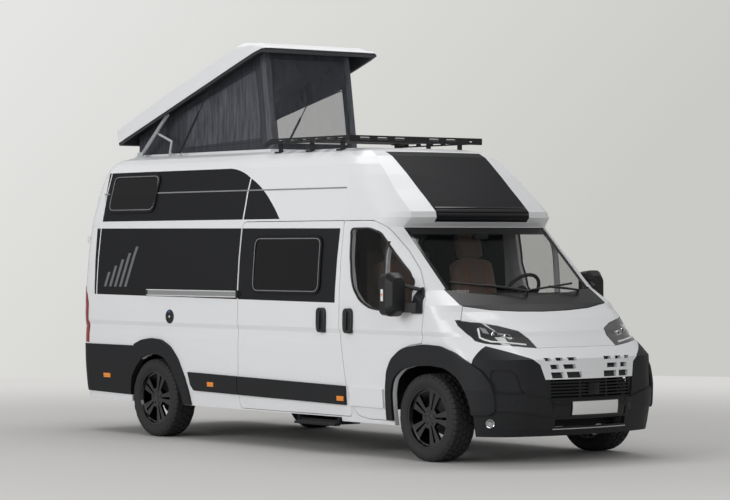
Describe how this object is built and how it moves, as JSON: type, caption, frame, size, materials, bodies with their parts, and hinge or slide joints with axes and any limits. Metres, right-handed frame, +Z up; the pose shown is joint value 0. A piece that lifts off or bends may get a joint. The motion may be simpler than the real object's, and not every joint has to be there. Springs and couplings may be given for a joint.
{
  "type": "camper van with raised pop-up roof",
  "caption": "High-roof panel van converted to a camper, with a raised tented pop-up roof, roof rack, sliding side door, hinged cab and rear doors and steered front wheels.",
  "frame": {"origin": "on the ground under the middle of the vehicle's overall length and width", "axes": "+X towards the front of the vehicle, +Y towards its left side, +Z up"},
  "size_m": [6.3616, 2.504, 3.7174],
  "materials": {
    "body_paint": "gloss",
    "trim_plastic": "satin",
    "window_glass": "gloss",
    "acrylic_window": "gloss",
    "lamp_lens": "gloss",
    "tail_lens": "gloss",
    "chassis_paint": "satin",
    "cast_metal": "matte",
    "zinc_plate": "satin",
    "rail_metal": "satin",
    "rim_paint": "gloss",
    "tyre_rubber": "matte",
    "seat_cloth": "matte",
    "cabinet_wood": "satin",
    "tent_cloth": "matte"
  },
  "bodies": {
    "body": {"body_side_right": "body_paint", "body_side_left": "body_paint", "sliding_door": "body_paint", "slider_window": "acrylic_window", "window_right": "acrylic_window", "windows_left": "acrylic_window", "cab_front": "body_paint", "windscreen": "window_glass", "cowl": "trim_plastic", "lamps_front": "lamp_lens", "grille_panel": "body_paint", "mesh_grille": "trim_plastic", "front_bumper": "trim_plastic", "lamps_rear": "tail_lens", "rear_bumper": "trim_plastic", "roof_panel": "body_paint", "nose_cap": "body_paint", "nose_panel": "trim_plastic", "arch_trims": "trim_plastic", "rub_strips": "trim_plastic", "floor_pan": "chassis_paint", "slide_rail": "rail_metal", "entry_step": "trim_plastic", "front_subframe": "chassis_paint", "rear_axle": "chassis_paint", "engine_block": "cast_metal", "lock_carrier": "chassis_paint", "underfloor_tanks": "trim_plastic", "seats": "seat_cloth", "dashboard": "trim_plastic", "furniture": "cabinet_wood", "tent": "tent_cloth", "lift_base_plates": "zinc_plate", "roof_rack": "chassis_paint"},
    "wheel_front_right": {"rim_front_right": "rim_paint", "tyre_front_right": "tyre_rubber"},
    "wheel_front_left": {"rim_front_left": "rim_paint", "tyre_front_left": "tyre_rubber"},
    "wheel_rear_right": {"rim_rear_right": "rim_paint", "tyre_rear_right": "tyre_rubber"},
    "wheel_rear_left": {"rim_rear_left": "rim_paint", "tyre_rear_left": "tyre_rubber"},
    "hub_right": {"knuckle_right": "cast_metal"},
    "hub_left": {"knuckle_left": "cast_metal"},
    "door_right": {"front_door_right": "body_paint", "door_glass_right": "window_glass", "mirror_right": "trim_plastic"},
    "door_left": {"front_door_left": "body_paint", "door_glass_left": "window_glass", "mirror_left": "trim_plastic"},
    "tail_door_right": {"rear_door_right": "body_paint", "rear_window_right": "acrylic_window"},
    "tail_door_left": {"rear_door_left": "body_paint", "rear_window_left": "acrylic_window"},
    "hood": {"bonnet": "body_paint"},
    "pop_roof": {"pop_roof_shell": "body_paint"},
    "arms": {"lift_arms": "zinc_plate"},
    "braces": {"lift_braces": "zinc_plate"},
    "barrels": {"strut_barrels": "chassis_paint"},
    "rods": {"strut_rods": "zinc_plate"}
  },
  "joints": [
    {"name": "wheel_front_right_spin", "type": "hinge", "parent": "hub_right", "child": "wheel_front_right", "pos_m": [2.2335, -0.915, 0.369], "axis": [0, 1, 0], "continuous": true},
    {"name": "wheel_front_left_spin", "type": "hinge", "parent": "hub_left", "child": "wheel_front_left", "pos_m": [2.2335, 0.915, 0.369], "axis": [0, 1, 0], "continuous": true},
    {"name": "wheel_rear_right_spin", "type": "hinge", "parent": "body", "child": "wheel_rear_right", "pos_m": [-1.8015, -0.915, 0.369], "axis": [0, 1, 0], "continuous": true},
    {"name": "wheel_rear_left_spin", "type": "hinge", "parent": "body", "child": "wheel_rear_left", "pos_m": [-1.8015, 0.915, 0.369], "axis": [0, 1, 0], "continuous": true},
    {"name": "steer_left", "type": "hinge", "parent": "body", "child": "hub_left", "pos_m": [2.2335, 0.776, 0.369], "axis": [0, 0, 1], "range_deg": [-35, 35]},
    {"name": "steer_right", "type": "hinge", "parent": "body", "child": "hub_right", "pos_m": [2.2335, -0.776, 0.369], "axis": [0, 0, 1], "range_deg": [-35, 35]},
    {"name": "door_right_hinge", "type": "hinge", "parent": "body", "child": "door_right", "pos_m": [2.1635, -1.03, 1.2], "axis": [0, 0, 1], "range_deg": [0, 70]},
    {"name": "door_left_hinge", "type": "hinge", "parent": "body", "child": "door_left", "pos_m": [2.1635, 1.03, 1.2], "axis": [0, 0, -1], "range_deg": [0, 70]},
    {"name": "tail_door_right_hinge", "type": "hinge", "parent": "body", "child": "tail_door_right", "pos_m": [-3.1465, -0.905, 1.5], "axis": [0, 0, 1], "range_deg": [0, 180]},
    {"name": "tail_door_left_hinge", "type": "hinge", "parent": "body", "child": "tail_door_left", "pos_m": [-3.1465, 0.905, 1.5], "axis": [0, 0, -1], "range_deg": [0, 180]},
    {"name": "bonnet_hinge", "type": "hinge", "parent": "body", "child": "hood", "pos_m": [2.4515, 0, 1.318], "axis": [0, -1, 0], "range_deg": [0, 55]},
    {"name": "roof_lift", "type": "hinge", "parent": "body", "child": "pop_roof", "pos_m": [-3.281, 0, 2.815], "axis": [0, -1, 0], "range_deg": [-18.9, 0], "deforming": ["tent"]},
    {"name": "arm_pivot", "type": "hinge", "parent": "pop_roof", "child": "arms", "pos_m": [-2.158, 0, 3.09], "axis": [0, -1, 0], "range_deg": [-22.1, 0]},
    {"name": "brace_pivot", "type": "hinge", "parent": "body", "child": "braces", "pos_m": [-2.162, 0, 2.706], "axis": [0, -1, 0], "range_deg": [0, 43.8]},
    {"name": "strut_pivot", "type": "hinge", "parent": "body", "child": "barrels", "pos_m": [-1.963, 0, 2.712], "axis": [0, -1, 0], "range_deg": [-49.1, 0]},
    {"name": "strut_slide", "type": "slide", "parent": "barrels", "child": "rods", "axis": [0.6475, 0, 0.7621], "range_m": [-0.2225, 0]}
  ],
  "couplings": [
    {"joint": "steer_right", "follows": "steer_left", "ratio": 1},
    {"joint": "arm_pivot", "follows": "roof_lift", "ratio": 1.164},
    {"joint": "brace_pivot", "follows": "roof_lift", "ratio": -2.312},
    {"joint": "strut_pivot", "follows": "roof_lift", "ratio": 2.595},
    {"joint": "strut_slide", "follows": "roof_lift", "m_per_rad": 0.673}
  ]
}
